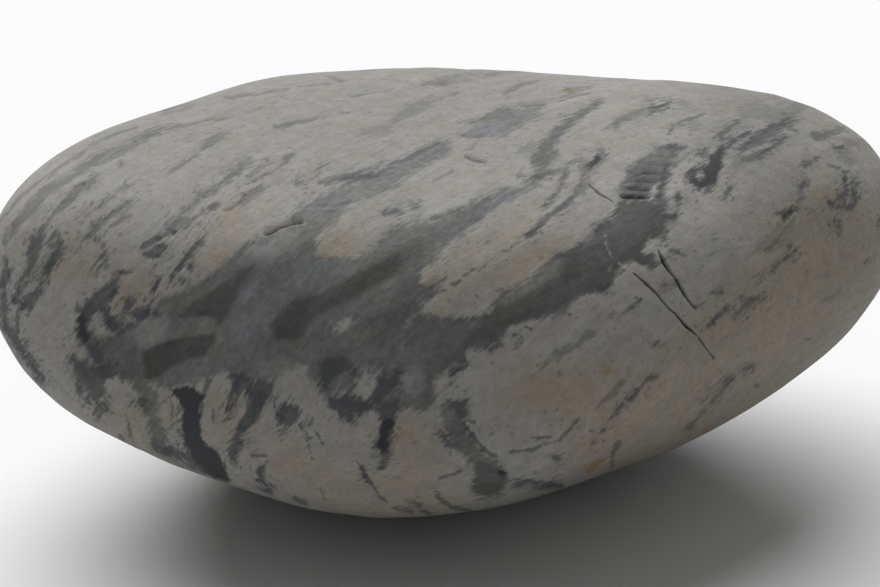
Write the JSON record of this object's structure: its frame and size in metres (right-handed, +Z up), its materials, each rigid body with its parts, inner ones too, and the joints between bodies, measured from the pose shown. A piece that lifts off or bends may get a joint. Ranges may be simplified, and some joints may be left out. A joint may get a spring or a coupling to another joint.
{
  "type": "river pebble",
  "caption": "Smooth water-worn river stone, a flattened rounded lump with soft faces, cracks and a small stepped patch, resting on its underside.",
  "frame": {"origin": "on the ground under the middle of the stone's bounding box", "axes": "+X along the stone's length to its blunt end, -Y to the side with the two cracks, +Z up"},
  "size_m": [0.1, 0.0736, 0.044],
  "materials": {
    "worn_stone": "matt, water-worn, light grey with slate-grey layers and tan stains"
  },
  "bodies": {
    "root": {"pebble": "worn_stone"}
  },
  "joints": []
}
